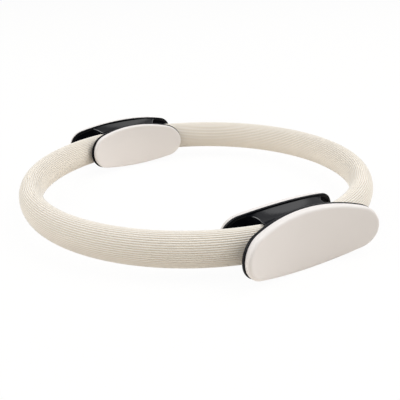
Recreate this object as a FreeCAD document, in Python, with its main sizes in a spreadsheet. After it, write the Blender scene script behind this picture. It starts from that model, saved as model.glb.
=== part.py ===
"""Pilates ring: a springy squeeze ring with two padded grips, as a parametric document.

Millimetres and degrees, +Z up. The ring lies flat on its two outer pads. Its axis is Z, the grips
are at -Y (front) and +Y (rear), and the origin is on the floor below the ring's centre. Each piece
is built with the ring's mid-plane at z = 0 and then raised by its Placement.
"""
import FreeCAD, Part
import math
import os
import Sketcher
from FreeCAD import Placement, Rotation, Vector

SIZES = {
    # The ring's tube is an ellipse in section, swept about the ring's axis.
    "ring_radius": 165.0,
    "tube_half_width": 11.3,
    "tube_half_height": 15.6,
    # Two spring leaves lie back to back in a slot along the tube.
    "leaf_thickness": 2.0,
    "leaf_height": 20.0,
    "leaf_parting": 0.4,
    "leaf_end_angle": 1.0,
    "sleeve_clearance": 0.4,
    "clamp_clearance": 0.1,
    # The tube turns in a grip's mouth and, in two quarters, at the middle of each side.
    "mouth_angle": 12.0,
    "hinge_gap": 0.5,
    "knuckle_setback": 5.0,
    "knuckle_relief": 0.3,
    # The outer pad is hollow along its length and its plate, longer than it, flares away from the tube.
    "outer_pad_half_length": 66.8,
    "outer_pad_half_height": 26.4,
    "outer_pad_end_radius": 19.5,
    "outer_pad_thickness": 7.0,
    "outer_pad_round": 4.0,
    "outer_flare_radius": 213.0,
    "outer_plate": 2.6,
    "outer_plate_margin": 0.9,
    "mouth_clearance": 0.8,
    # The inner pad follows the ring, inside the tube, on a plate larger all round.
    "inner_pad_half_length": 56.5,
    "inner_pad_half_height": 23.6,
    "inner_pad_end_radius": 19.2,
    "inner_pad_thickness": 6.0,
    "inner_pad_round": 3.0,
    "inner_plate": 2.4,
    "inner_plate_margin": 1.2,
    "inner_wing_gap": 3.2,
    # The grip's body is hollowed above and below into a valley between its two plates.
    "block_half_height": 22.0,
    "valley_wall": 1.8,
    "valley_round": 13.5,
    "valley_inset": 3.0,
    "parting_gap": 0.1,
    "rest_flat": 0.5,
    # Four screws draw the two shells of a grip together on brass inserts.
    "screw_radius": 1.5,
    "screw_head_radius": 2.75,
    "screw_head_height": 2.4,
    "screw_head_sink": 1.6,
    "screw_across": 14.0,
    "screw_wall": 1.5,
    "screw_tip_room": 1.5,
    "socket_radius": 1.25,
    "socket_depth": 1.4,
    "insert_radius": 2.3,
    "insert_length": 5.5,
    "fit_clearance": 0.05,
    "screw_hole_clearance": 0.2,
    "head_clearance": 0.35,
    # A dowel holds each side's leaves in each grip.
    "pin_radius": 2.0,
    "pin_across": 15.0,
    "pin_half_length": 5.0,
    "pin_chamfer": 0.4,
    "leaf_hole_clearance": 0.15,
}

# Sizes that several pieces share, as expressions in the sheet's names.
MID_HEIGHT = "(Sizes.outer_pad_half_height - Sizes.rest_flat)"
MOUTH_X = "(Sizes.ring_radius * sin(Sizes.mouth_angle * 1 deg))"
MOUTH_Y = "(Sizes.ring_radius * cos(Sizes.mouth_angle * 1 deg))"
LEAF_HALF_PACK = "(Sizes.leaf_thickness + Sizes.leaf_parting / 2)"
SLEEVE_OUTSIDE = "(Sizes.ring_radius + Sizes.tube_half_width)"
FLARE_FACE = "(Sizes.outer_flare_radius + Sizes.outer_plate)"
FLARE_AXIS = (
    f"({SLEEVE_OUTSIDE} * cos(Sizes.mouth_angle * 1 deg) + Sizes.mouth_clearance"
    f" + sqrt({FLARE_FACE}^2 - ({SLEEVE_OUTSIDE} * sin(Sizes.mouth_angle * 1 deg))^2))"
)
OUTER_PLATE_LENGTH = "(Sizes.outer_pad_half_length + Sizes.outer_plate_margin)"
INNER_FACE = "(Sizes.ring_radius - Sizes.tube_half_width - Sizes.inner_wing_gap)"
INNER_SEAT = f"({INNER_FACE} - Sizes.inner_plate)"
SCREW_SEAT = f"({INNER_SEAT} + Sizes.screw_head_height + Sizes.screw_head_sink)"
SCREW_LENGTH = f"(Sizes.ring_radius + Sizes.insert_length - Sizes.screw_tip_room - {SCREW_SEAT})"
SCREW_REACH = f"({SCREW_SEAT} + {SCREW_LENGTH} - {INNER_SEAT})"
HEAD_BORE_START = f"({INNER_SEAT} - Sizes.inner_pad_thickness)"
HEAD_BORE_LENGTH = f"({SCREW_SEAT} - {HEAD_BORE_START})"
INSERT_BORE_START = "(Sizes.ring_radius - Sizes.insert_length)"
INSERT_BORE_LENGTH = "(2 * Sizes.insert_length)"
SCREW_UP = (
    "(Sizes.leaf_height / 2 + Sizes.clamp_clearance + Sizes.screw_wall"
    " + Sizes.screw_radius + Sizes.screw_hole_clearance)"
)
GRIP_HEIGHT = "(2 * Sizes.outer_pad_half_height)"
BLOCK_HEIGHT = "(2 * Sizes.block_half_height)"
SIDES = (("left", "-"), ("right", ""))
TOUCH = 1e-6
UPRIGHT_ELLIPSE = Rotation(Vector(1, 1, 1), 240)
TOWARDS_FRONT = Rotation(Vector(1, 0, 0), 90)

doc = FreeCAD.newDocument("PilatesRing")
nodes = []


def make_sheet():
    """Fill the sheet with the driving sizes, one named cell each."""
    sheet = doc.addObject("Spreadsheet::Sheet", "Sizes")
    for row, (alias, value) in enumerate(SIZES.items(), start=1):
        sheet.set(f"A{row}", alias)
        sheet.set(f"B{row}", str(value))
        sheet.setAlias(f"B{row}", alias)
    doc.recompute()
    return sheet


def bind(obj, expressions):
    """Tie properties of obj to expressions in the sheet's names."""
    for path, expression in expressions.items():
        obj.setExpression(path, expression)
    return obj


def primitive(kind, name, sizes, at=("0", "0", "0"), turn=None):
    """Make one solid whose sizes and place are expressions."""
    obj = doc.addObject(f"Part::{kind}", name)
    if turn is not None:
        obj.Placement = Placement(Vector(), turn)
    bind(obj, sizes)
    return bind(obj, {f"Placement.Base.{axis}": value for axis, value in zip("xyz", at)})


def upright_cylinder(name, radius, height, at=("0", "0"), angle="360"):
    """A cylinder, or a sector of one, along Z and centred on the mid-plane."""
    sizes = {"Radius": radius, "Height": height, "Angle": angle}
    return primitive("Cylinder", name, sizes, (at[0], at[1], f"-{height} / 2"))


def radial_cylinder(name, radius, start, length, x="0", z="0"):
    """A cylinder along -Y, from a distance in front of the ring's axis outwards."""
    sizes = {"Radius": radius, "Height": length}
    return primitive("Cylinder", name, sizes, (x, f"-{start}", z), TOWARDS_FRONT)


def spheroid(name, growth, at):
    """The tube's section turned about its own upright axis, grown or shrunk by a named gap."""
    sizes = {
        "Radius1": f"Sizes.tube_half_height {growth}",
        "Radius2": f"Sizes.tube_half_width {growth}",
        "Radius3": f"Sizes.tube_half_width {growth}",
    }
    return primitive("Ellipsoid", name, sizes, at)


def fuse(name, shapes):
    """Join shapes that overlap into one solid."""
    obj = doc.addObject("Part::MultiFuse", name)
    obj.Shapes = shapes
    return obj


def common(name, shapes):
    """Keep only what all the shapes share."""
    obj = doc.addObject("Part::MultiCommon", name)
    obj.Shapes = shapes
    return obj


def cut(name, base, tools):
    """Take the tools away from base, one after the other."""
    for tool in tools:
        last = tool is tools[-1]
        obj = doc.addObject("Part::Cut", name if last else f"{name}_without_{tool.Name}")
        obj.Base = base
        obj.Tool = tool
        base = obj
    return base


def finish_node(obj, label, turned):
    """Name a finished piece, raise it to its height and turn it to the rear where asked."""
    obj.Label = label
    obj.Placement = Placement(Vector(), Rotation(Vector(0, 0, 1), 180 if turned else 0))
    bind(obj, {"Placement.Base.z": MID_HEIGHT})
    nodes.append(obj)
    return obj


def ring_slot(name, clearance):
    """The ring-shaped space that the pack of leaves takes up, with a clearance all round."""
    height = f"(Sizes.leaf_height + 2 * {clearance})"
    half_width = f"({LEAF_HALF_PACK} + {clearance})"
    outside = upright_cylinder(f"{name}_outside", f"Sizes.ring_radius + {half_width}", height)
    inside = upright_cylinder(f"{name}_inside", f"Sizes.ring_radius - {half_width}", height)
    return cut(name, outside, [inside])


def make_sleeve(label, at_front_right, turned):
    """A quarter of the ribbed tube, from the middle of a side to a grip's mouth.

    The rear right quarter ends in a round knuckle at the middle of its side and the front right one
    in the hollow that takes it. The left quarters are these two, turned by half a turn.
    """
    outline = primitive(
        "Ellipse",
        f"{label}_outline",
        {"MajorRadius": "Sizes.tube_half_height", "MinorRadius": "Sizes.tube_half_width"},
        ("Sizes.ring_radius", "0", "0"),
        UPRIGHT_ELLIPSE,
    )
    tube = doc.addObject("Part::Revolution", f"{label}_tube")
    tube.Source = outline
    tube.Solid = True
    tube.Axis = Vector(0, 0, -1 if at_front_right else 1)
    bind(tube, {"Angle": "90 - Sizes.mouth_angle"})
    mouth = (MOUTH_X, f"-{MOUTH_Y}" if at_front_right else MOUTH_Y, "0")
    side = ("Sizes.ring_radius", "0", "0")
    solids = [tube, spheroid(f"{label}_mouth_end", "- Sizes.knuckle_relief", mouth)]
    tools = [ring_slot(f"{label}_slot", "Sizes.sleeve_clearance")]
    if at_front_right:
        room = {
            "Length": "4 * Sizes.tube_half_width",
            "Width": "Sizes.knuckle_setback + 2 * Sizes.tube_half_width",
            "Height": "4 * Sizes.tube_half_height",
        }
        corner = (
            "Sizes.ring_radius - 2 * Sizes.tube_half_width",
            "-Sizes.knuckle_setback",
            "-2 * Sizes.tube_half_height",
        )
        tools.append(spheroid(f"{label}_hollow", "+ Sizes.hinge_gap", side))
        tools.append(primitive("Box", f"{label}_setback", room, corner))
    else:
        solids.append(spheroid(f"{label}_knuckle", "- Sizes.knuckle_relief", side))
    sleeve = cut(label, fuse(f"{label}_body", solids), tools)
    return finish_node(sleeve, label, turned)


def make_leaf(label, outer, turned):
    """A spring leaf along the right half of the ring, bored for the dowels at its ends."""
    if outer:
        inside = "Sizes.ring_radius + Sizes.leaf_parting / 2"
        outside = f"Sizes.ring_radius + {LEAF_HALF_PACK}"
    else:
        inside = f"Sizes.ring_radius - {LEAF_HALF_PACK}"
        outside = "Sizes.ring_radius - Sizes.leaf_parting / 2"
    half_turn = "180 - 2 * Sizes.leaf_end_angle"
    band = upright_cylinder(f"{label}_band", outside, "Sizes.leaf_height", angle=half_turn)
    band.Placement.Rotation = Rotation(Vector(0, 0, 1), -90)
    bind(band, {"Placement.Rotation.Angle": "-90 + Sizes.leaf_end_angle"})
    tools = [upright_cylinder(f"{label}_inside", inside, "Sizes.leaf_height")]
    tools.append(
        primitive(
            "Cylinder",
            f"{label}_holes",
            {
                "Radius": "Sizes.pin_radius + Sizes.leaf_hole_clearance",
                "Height": f"2 * {SLEEVE_OUTSIDE}",
            },
            ("Sizes.pin_across", SLEEVE_OUTSIDE, "0"),
            TOWARDS_FRONT,
        )
    )
    return finish_node(cut(label, band, tools), label, turned)


def grown(size, margin):
    """A size with a margin, both by name, as a number and as an expression."""
    if margin is None:
        return SIZES[size], f"Sizes.{size}"
    return SIZES[size] + SIZES[margin], f"(Sizes.{size} + Sizes.{margin})"


def make_oval(name, prefix, end_margin=None, side_margin=None):
    """A pad's outline, or its plate's, as a bar towards -Y: two end arcs that run into two long arcs."""
    length, half_length = grown(f"{prefix}_half_length", end_margin)
    rise, half_height = grown(f"{prefix}_half_height", side_margin)
    end, end_radius = grown(f"{prefix}_end_radius", side_margin)
    reach = length - end
    long_radius = (reach**2 + rise**2 - end**2) / (2 * (rise - end))
    drop = long_radius - rise
    body = doc.addObject("PartDesign::Body", name)
    sketch = body.newObject("Sketcher::SketchObject", f"{name}_outline")
    plane = next(f for f in body.Origin.OriginFeatures if f.Role == "XZ_Plane")
    sketch.AttachmentSupport = (plane, [""])
    sketch.MapMode = "FlatFace"
    lean = math.atan2(drop, reach)
    up = Vector(0, 0, 1)
    arcs = (
        (Vector(reach, 0), end, -lean, lean),
        (Vector(0, -drop), long_radius, lean, math.pi - lean),
        (Vector(-reach, 0), end, math.pi - lean, math.pi + lean),
        (Vector(0, drop), long_radius, math.pi + lean, 2 * math.pi - lean),
    )
    for centre, radius, start, stop in arcs:
        sketch.addGeometry(Part.ArcOfCircle(Part.Circle(centre, up, radius), start, stop), False)
    right, top, left, bottom = range(len(arcs))
    start_point, end_point, centre_point = 1, 2, 3
    origin, across, upwards = -1, -1, -2
    sketch.addConstraint(
        [
            Sketcher.Constraint("Tangent", right, end_point, top, start_point),
            Sketcher.Constraint("Coincident", top, end_point, left, start_point),
            Sketcher.Constraint("Coincident", left, end_point, bottom, start_point),
            Sketcher.Constraint("Coincident", bottom, end_point, right, start_point),
            Sketcher.Constraint("Symmetric", top, start_point, top, end_point, upwards),
            Sketcher.Constraint("Symmetric", right, start_point, right, end_point, across),
            Sketcher.Constraint("Symmetric", left, start_point, left, end_point, across),
            Sketcher.Constraint("Equal", right, left),
            Sketcher.Constraint("Equal", top, bottom),
        ]
    )
    reach_size = sketch.addConstraint(
        Sketcher.Constraint("DistanceX", origin, start_point, right, centre_point, reach)
    )
    end_size = sketch.addConstraint(Sketcher.Constraint("Radius", right, end))
    long_size = sketch.addConstraint(Sketcher.Constraint("Radius", top, long_radius))
    reach_text = f"({half_length} - {end_radius})"
    long_text = f"({reach_text}^2 + {half_height}^2 - {end_radius}^2) / (2 * ({half_height} - {end_radius}))"
    bind(
        sketch,
        {
            f"Constraints[{reach_size}]": reach_text,
            f"Constraints[{end_size}]": end_radius,
            f"Constraints[{long_size}]": long_text,
        },
    )
    bar = body.newObject("PartDesign::Pad", f"{name}_bar")
    bar.Profile = sketch
    bind(bar, {"Length": FLARE_AXIS})
    doc.recompute()
    return body


def rounded_front(name, base, front_radius, round_radius):
    """Round the edge where a pad's front face meets its rim."""
    doc.recompute()
    shape = base.Shape
    front = [
        face
        for face in shape.Faces
        if isinstance(face.Surface, Part.Cylinder)
        and abs(face.Surface.Radius - front_radius) < TOUCH
        and abs(face.Surface.Axis.z) > 1 - TOUCH
    ]
    rim = [edge for face in front for edge in face.Edges]
    numbers = [
        number
        for number, edge in enumerate(shape.Edges, start=1)
        if any(edge.isSame(other) for other in rim)
    ]
    obj = doc.addObject("Part::Fillet", name)
    obj.Base = base
    obj.Edges = [(number, round_radius, round_radius) for number in numbers]
    return obj


def floor_cut(name):
    """The space below the floor, which leaves a flat under the outer pad and its plate."""
    sizes = {
        "Length": f"2 * {OUTER_PLATE_LENGTH}",
        "Width": FLARE_AXIS,
        "Height": "Sizes.outer_pad_half_height",
    }
    corner = (
        f"-{OUTER_PLATE_LENGTH}",
        f"-{FLARE_AXIS}",
        f"-{MID_HEIGHT} - Sizes.outer_pad_half_height",
    )
    return primitive("Box", name, sizes, corner)


def make_outer_pad(label, turned):
    """The cushion that a palm or a knee presses, hollow along its length."""
    at = ("0", f"-{FLARE_AXIS}")
    back = upright_cylinder(f"{label}_back", "Sizes.outer_flare_radius", GRIP_HEIGHT, at)
    front_radius = "Sizes.outer_flare_radius - Sizes.outer_pad_thickness"
    front = upright_cylinder(f"{label}_front", front_radius, GRIP_HEIGHT, at)
    blank = common(f"{label}_blank", [back, make_oval(f"{label}_oval", "outer_pad")])
    cushion = cut(f"{label}_cushion", blank, [front])
    radius = SIZES["outer_flare_radius"] - SIZES["outer_pad_thickness"]
    soft = rounded_front(f"{label}_soft", cushion, radius, SIZES["outer_pad_round"])
    return finish_node(cut(label, soft, [floor_cut(f"{label}_floor")]), label, turned)


def make_inner_pad(label, turned):
    """The cushion inside the ring, bent along with it."""
    back = upright_cylinder(f"{label}_back", INNER_SEAT, GRIP_HEIGHT)
    front = upright_cylinder(f"{label}_front", f"{INNER_SEAT} - Sizes.inner_pad_thickness", GRIP_HEIGHT)
    blank = common(f"{label}_blank", [back, make_oval(f"{label}_oval", "inner_pad")])
    cushion = cut(f"{label}_cushion", blank, [front])
    seat = SIZES["ring_radius"] - SIZES["tube_half_width"] - SIZES["inner_wing_gap"] - SIZES["inner_plate"]
    radius = seat - SIZES["inner_pad_thickness"]
    soft = rounded_front(f"{label}_soft", cushion, radius, SIZES["inner_pad_round"])
    return finish_node(soft, label, turned)


def grip_block(name, radius):
    """A wedge of the ring's disc between a grip's two mouths, hollowed into a valley on both faces."""
    wedge = upright_cylinder(f"{name}_wedge", radius, BLOCK_HEIGHT, angle="2 * Sizes.mouth_angle")
    wedge.Placement.Rotation = Rotation(Vector(0, 0, 1), -90)
    bind(wedge, {"Placement.Rotation.Angle": "-90 - Sizes.mouth_angle"})
    valley = {"Radius1": "Sizes.ring_radius - Sizes.valley_inset", "Radius2": "Sizes.valley_round"}
    valley_up = "(Sizes.tube_half_height + Sizes.valley_wall + Sizes.valley_round)"
    valleys = [
        primitive("Torus", f"{name}_{level}_valley", valley, ("0", "0", sign + valley_up))
        for level, sign in (("lower", "-"), ("upper", ""))
    ]
    return cut(name, wedge, valleys)


def grip_hollows(label):
    """What both shells of a grip are hollowed by: the leaves with their dowels, and the mouths."""
    pin_start = "(Sizes.ring_radius - Sizes.pin_half_length)"
    pin_length = "(2 * Sizes.pin_half_length)"
    pin_bore = "Sizes.pin_radius + Sizes.fit_clearance"
    tools = [ring_slot(f"{label}_slot", "Sizes.clamp_clearance")]
    for side, sign in SIDES:
        pin_x = f"{sign}Sizes.pin_across"
        tools.append(radial_cylinder(f"{label}_{side}_pin_seat", pin_bore, pin_start, pin_length, pin_x))
    for side, sign in SIDES:
        mouth = (sign + MOUTH_X, f"-{MOUTH_Y}", "0")
        tools.append(spheroid(f"{label}_{side}_mouth", "+ Sizes.hinge_gap", mouth))
    return tools


def screw_places():
    """Each screw's name and its place across and up, as expressions."""
    for level, up in (("lower", "-"), ("upper", "")):
        for side, across in SIDES:
            yield f"{level}_{side}", f"{across}Sizes.screw_across", up + SCREW_UP


def make_outer_shell(label, turned):
    """The outer plate with the outer half of the grip's body, bored for the inserts."""
    at = ("0", f"-{FLARE_AXIS}")
    plate = upright_cylinder(f"{label}_plate", FLARE_FACE, GRIP_HEIGHT, at)
    block = grip_block(f"{label}_block", f"{SLEEVE_OUTSIDE} + Sizes.outer_plate")
    blank = fuse(f"{label}_blank", [plate, block])
    oval = make_oval(f"{label}_oval", "outer_pad", end_margin="outer_plate_margin")
    bar = common(f"{label}_bar", [blank, oval])
    parting = "Sizes.ring_radius + Sizes.parting_gap / 2"
    tools = [
        upright_cylinder(f"{label}_seat", "Sizes.outer_flare_radius", GRIP_HEIGHT, at),
        upright_cylinder(f"{label}_parting", parting, GRIP_HEIGHT),
        floor_cut(f"{label}_floor"),
    ]
    radius = "Sizes.insert_radius"
    for place, x, z in screw_places():
        bore = f"{label}_{place}_bore"
        tools.append(radial_cylinder(bore, radius, INSERT_BORE_START, INSERT_BORE_LENGTH, x, z))
    return finish_node(cut(label, bar, tools + grip_hollows(label)), label, turned)


def make_inner_shell(label, turned):
    """The inner plate with the inner half of the grip's body, bored for the screws."""
    plate = upright_cylinder(f"{label}_plate", INNER_FACE, GRIP_HEIGHT)
    block = grip_block(f"{label}_block", "Sizes.ring_radius - Sizes.parting_gap / 2")
    blank = fuse(f"{label}_blank", [plate, block])
    oval = make_oval(f"{label}_oval", "inner_pad", "inner_plate_margin", "inner_plate_margin")
    bar = common(f"{label}_bar", [blank, oval])
    tools = [upright_cylinder(f"{label}_seat", INNER_SEAT, GRIP_HEIGHT)]
    shank_radius = "Sizes.screw_radius + Sizes.screw_hole_clearance"
    head_radius = "Sizes.screw_head_radius + Sizes.head_clearance"
    for place, x, z in screw_places():
        shank = f"{label}_{place}_hole"
        head = f"{label}_{place}_head_hole"
        tools.append(radial_cylinder(shank, shank_radius, INNER_SEAT, SCREW_REACH, x, z))
        tools.append(radial_cylinder(head, head_radius, HEAD_BORE_START, HEAD_BORE_LENGTH, x, z))
    return finish_node(cut(label, bar, tools + grip_hollows(label)), label, turned)


def make_screw(label, x, z, turned):
    """A cap screw with a hexagon socket, its head under the inner pad."""
    head_start = f"({SCREW_SEAT} - Sizes.screw_head_height)"
    head_size = ("Sizes.screw_head_radius", head_start, "Sizes.screw_head_height")
    head = radial_cylinder(f"{label}_head", *head_size, x, z)
    shank = radial_cylinder(f"{label}_shank", "Sizes.screw_radius", SCREW_SEAT, SCREW_LENGTH, x, z)
    socket = primitive(
        "Prism",
        f"{label}_socket",
        {"Circumradius": "Sizes.socket_radius", "Height": "Sizes.socket_depth"},
        (x, f"-{head_start}", z),
        TOWARDS_FRONT,
    )
    socket.Polygon = 6
    return finish_node(cut(label, fuse(f"{label}_blank", [head, shank]), [socket]), label, turned)


def make_insert(label, x, z, turned):
    """A brass bush in the outer shell that takes a screw."""
    start, length = "Sizes.ring_radius", "Sizes.insert_length"
    outside = radial_cylinder(f"{label}_outside", "Sizes.insert_radius", start, length, x, z)
    bore_radius = "Sizes.screw_radius + Sizes.fit_clearance"
    bore = radial_cylinder(f"{label}_bore", bore_radius, start, length, x, z)
    return finish_node(cut(label, outside, [bore]), label, turned)


def make_pin(label, sign, turned):
    """A dowel through the ends of one side's leaves."""
    start = "(Sizes.ring_radius - Sizes.pin_half_length)"
    blank = radial_cylinder(
        f"{label}_blank", "Sizes.pin_radius", start, "2 * Sizes.pin_half_length", f"{sign}Sizes.pin_across"
    )
    doc.recompute()
    pin = doc.addObject("Part::Chamfer", label)
    pin.Base = blank
    pin.Edges = [
        (number, SIZES["pin_chamfer"], SIZES["pin_chamfer"])
        for number, edge in enumerate(blank.Shape.Edges, start=1)
        if isinstance(edge.Curve, Part.Circle)
    ]
    return finish_node(pin, label, turned)


def make_grip(end, turned):
    """One grip: two shells, two pads, the screws with their inserts, and the dowels."""
    make_outer_shell(f"{end}_outer_shell", turned)
    make_inner_shell(f"{end}_inner_shell", turned)
    make_outer_pad(f"{end}_outer_pad", turned)
    make_inner_pad(f"{end}_inner_pad", turned)
    for place, x, z in screw_places():
        make_screw(f"{end}_{place}_screw", x, z, turned)
        make_insert(f"{end}_{place}_insert", x, z, turned)
    for side, sign in SIDES:
        make_pin(f"{end}_{side}_pin", sign, turned)


def check_and_write():
    """Stop on any failed object or bad solid, then write one file for each piece."""
    doc.recompute()
    failed = [obj.Name for obj in doc.Objects if {"Invalid", "Error"} & set(obj.State)]
    if failed:
        raise RuntimeError(f"failed objects: {failed}")
    for node in nodes:
        shape = node.Shape
        if shape.isNull() or not shape.isValid() or len(shape.Solids) != 1:
            raise RuntimeError(f"bad solid: {node.Label}, {len(shape.Solids)} solids")
    os.makedirs("parts", exist_ok=True)
    for node in nodes:
        node.Shape.exportStep(f"parts/{node.Label}.step")
        print(f"{node.Label}: {node.Shape.Volume / 1000:.2f} cm3")


def main():
    make_sheet()
    make_sleeve("left_front_sleeve", at_front_right=False, turned=True)
    make_sleeve("left_rear_sleeve", at_front_right=True, turned=True)
    make_sleeve("right_front_sleeve", at_front_right=True, turned=False)
    make_sleeve("right_rear_sleeve", at_front_right=False, turned=False)
    for side, turned in (("left", True), ("right", False)):
        make_leaf(f"{side}_outer_leaf", outer=True, turned=turned)
        make_leaf(f"{side}_inner_leaf", outer=False, turned=turned)
    make_grip("front", turned=False)
    make_grip("rear", turned=True)
    check_and_write()


main()
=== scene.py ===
"""Pilates ring: the looks of a springy squeeze ring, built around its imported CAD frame.

Metres, +Z up, in the frame's own place. The ring lies flat on its two outer pads, its axis is Z,
and the grips are at -Y (front) and +Y (rear).
"""

import logging
import math
from dataclasses import dataclass
from enum import Enum

import bmesh
import bpy
import numpy as np
from mathutils import Matrix, Vector

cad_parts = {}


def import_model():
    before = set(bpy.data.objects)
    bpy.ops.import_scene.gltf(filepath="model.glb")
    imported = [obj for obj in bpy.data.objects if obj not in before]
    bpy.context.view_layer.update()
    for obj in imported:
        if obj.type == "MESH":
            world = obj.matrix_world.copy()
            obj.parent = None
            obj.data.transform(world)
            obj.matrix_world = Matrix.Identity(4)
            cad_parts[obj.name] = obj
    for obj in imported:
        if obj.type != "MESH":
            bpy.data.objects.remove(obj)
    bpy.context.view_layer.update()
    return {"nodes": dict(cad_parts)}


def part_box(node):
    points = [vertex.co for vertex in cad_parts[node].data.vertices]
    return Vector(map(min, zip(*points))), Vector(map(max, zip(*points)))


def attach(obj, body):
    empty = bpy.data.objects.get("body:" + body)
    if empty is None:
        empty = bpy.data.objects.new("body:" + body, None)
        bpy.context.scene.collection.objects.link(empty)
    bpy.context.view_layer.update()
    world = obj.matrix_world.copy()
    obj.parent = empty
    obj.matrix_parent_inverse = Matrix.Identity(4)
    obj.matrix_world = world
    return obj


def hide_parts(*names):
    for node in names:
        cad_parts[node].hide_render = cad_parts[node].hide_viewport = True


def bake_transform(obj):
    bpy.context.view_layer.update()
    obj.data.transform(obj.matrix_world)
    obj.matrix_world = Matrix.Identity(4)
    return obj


LOG = logging.getLogger("pilates_ring")
MM = 0.001


class Half(Enum):
    """One of two that a half turn about the ring's axis takes to each other."""

    @property
    def label(self) -> str:
        """The name in the frame."""
        return self.name.lower()


class End(Half):
    """The two grips, by the half turn that takes the front one to each."""

    FRONT = 0.0
    REAR = math.pi


class Side(Half):
    """The two halves of the ring, by the half turn that takes the right one to each."""

    RIGHT = 0.0
    LEFT = math.pi


def quarter_turn(count: int) -> np.ndarray:
    """Angles from nought to a right angle, for a rounding."""
    return np.linspace(0.0, math.pi / 2, count)


class Workbench:
    """The modelling steps that the pieces share."""

    PLACE = "loop_place"
    ROW = "loop_row"
    WELD = 0.001 * MM

    @staticmethod
    def clear() -> None:
        """Go to object mode with nothing selected."""
        if bpy.context.mode != "OBJECT":
            bpy.ops.object.mode_set(mode="OBJECT")
        bpy.ops.object.select_all(action="DESELECT")

    @staticmethod
    def pick(*pieces: bpy.types.Object) -> None:
        """Select only these pieces, the first one active.

        Args:
            pieces: The pieces.
        """
        Workbench.clear()
        for piece in pieces:
            piece.select_set(True)
        bpy.context.view_layer.objects.active = pieces[0]

    @staticmethod
    def start_loop(name: str, points: np.ndarray) -> bpy.types.Object:
        """Add a circle and lay it along a closed loop, selected in edit mode.

        Args:
            name: The new piece's name.
            points: The loop's points, one row each.

        Returns:
            The new piece.
        """
        Workbench.clear()
        bpy.ops.mesh.primitive_circle_add(vertices=len(points))
        piece = bpy.context.active_object
        piece.name = piece.data.name = name
        place = piece.data.attributes.new(Workbench.PLACE, "INT", "POINT")
        place.data.foreach_set("value", np.arange(len(points), dtype=np.int32))
        piece.data.attributes.new(Workbench.ROW, "INT", "POINT")
        piece.data.vertices.foreach_set("co", points.astype(np.float32).ravel())
        bpy.ops.object.mode_set(mode="EDIT")
        bpy.ops.mesh.select_mode(type="VERT")
        bpy.ops.mesh.select_all(action="SELECT")
        return piece

    @staticmethod
    def next_loop(piece: bpy.types.Object, points: np.ndarray) -> None:
        """Extrude the selected loop and lay the new one along other points.

        Args:
            piece: The piece in edit mode.
            points: The new loop's points, in the order of the first loop.
        """
        bpy.ops.mesh.extrude_region()
        mesh = bmesh.from_edit_mesh(piece.data)
        place = mesh.verts.layers.int[Workbench.PLACE]
        row = mesh.verts.layers.int[Workbench.ROW]
        for vertex in mesh.verts:
            if vertex.select:
                vertex.co = points[vertex[place]]
                vertex[row] += 1
        bmesh.update_edit_mesh(piece.data)

    @staticmethod
    def loft(name: str, loops: list[np.ndarray]) -> bpy.types.Object:
        """Draw a skin through loops of equal count, by extruding from each to the next.

        Args:
            name: The new piece's name.
            loops: The loops in order.

        Returns:
            The piece, in edit mode with its last loop selected.
        """
        piece = Workbench.start_loop(name, loops[0])
        for points in loops[1:]:
            Workbench.next_loop(piece, points)
        return piece

    @staticmethod
    def spin(steps: int, angle: float) -> None:
        """Spin the selected loop about the ring's axis."""
        bpy.ops.mesh.spin(steps=steps, angle=angle, center=(0.0, 0.0, 0.0), axis=(0.0, 0.0, 1.0))

    @staticmethod
    def numbers(piece: bpy.types.Object, name: str) -> np.ndarray:
        """A piece's whole numbers of one name, point by point.

        Args:
            piece: The piece, in object mode.
            name: The attribute's name.

        Returns:
            The numbers in the order of the points.
        """
        found = np.zeros(len(piece.data.vertices), np.int32)
        piece.data.attributes[name].data.foreach_get("value", found)
        return found

    @staticmethod
    def mark(piece: bpy.types.Object, name: str, values: np.ndarray) -> None:
        """Store a value for each point of a piece."""
        marks = piece.data.attributes.new(name, "FLOAT", "POINT")
        marks.data.foreach_set("value", values.astype(np.float32))

    @staticmethod
    def fill_open_ends() -> None:
        """Put a face on each open loop of the piece in edit mode."""
        for _ in range(2):
            bpy.ops.mesh.select_all(action="DESELECT")
            bpy.ops.mesh.select_non_manifold(extend=False, use_multi_face=False, use_verts=False)
            bpy.ops.mesh.edge_face_add()

    @staticmethod
    def finish(piece: bpy.types.Object, sharp: float) -> None:
        """Weld the poles, point the faces outwards and smooth all but the sharp edges.

        Args:
            piece: The piece in edit mode.
            sharp: The angle above which an edge stays sharp, in degrees.
        """
        bpy.ops.mesh.select_all(action="SELECT")
        bpy.ops.mesh.remove_doubles(threshold=Workbench.WELD)
        bpy.ops.mesh.normals_make_consistent(inside=False)
        Workbench.pick(piece)
        bpy.ops.object.shade_smooth_by_angle(angle=math.radians(sharp))

    @staticmethod
    def join(piece: bpy.types.Object, *others: bpy.types.Object) -> bpy.types.Object:
        """Make one piece of several.

        Args:
            piece: The piece that takes in the others.
            others: The other pieces, which go.

        Returns:
            The first piece.
        """
        Workbench.pick(piece, *others)
        bpy.ops.object.join()
        return piece

    @staticmethod
    def turn(piece: bpy.types.Object, angle: float) -> None:
        """Turn a piece about the ring's axis, with its place in its mesh.

        Args:
            piece: The piece.
            angle: The angle, in radians.
        """
        Workbench.pick(piece)
        bpy.ops.transform.rotate(value=angle, orient_axis="Z", center_override=(0.0, 0.0, 0.0))
        bpy.ops.object.transform_apply(location=True, rotation=True, scale=True)

    @staticmethod
    def turned_copy(piece: bpy.types.Object, name: str, turn: float) -> bpy.types.Object:
        """Copy a piece with its own mesh, turned about the ring's axis.

        Args:
            piece: The piece to copy.
            name: The copy's name.
            turn: The angle, in radians.

        Returns:
            The copy, with its place in its mesh.
        """
        Workbench.pick(piece)
        bpy.ops.object.duplicate(linked=False)
        copy = bpy.context.active_object
        copy.name = copy.data.name = name
        Workbench.turn(copy, turn)
        return copy


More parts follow.
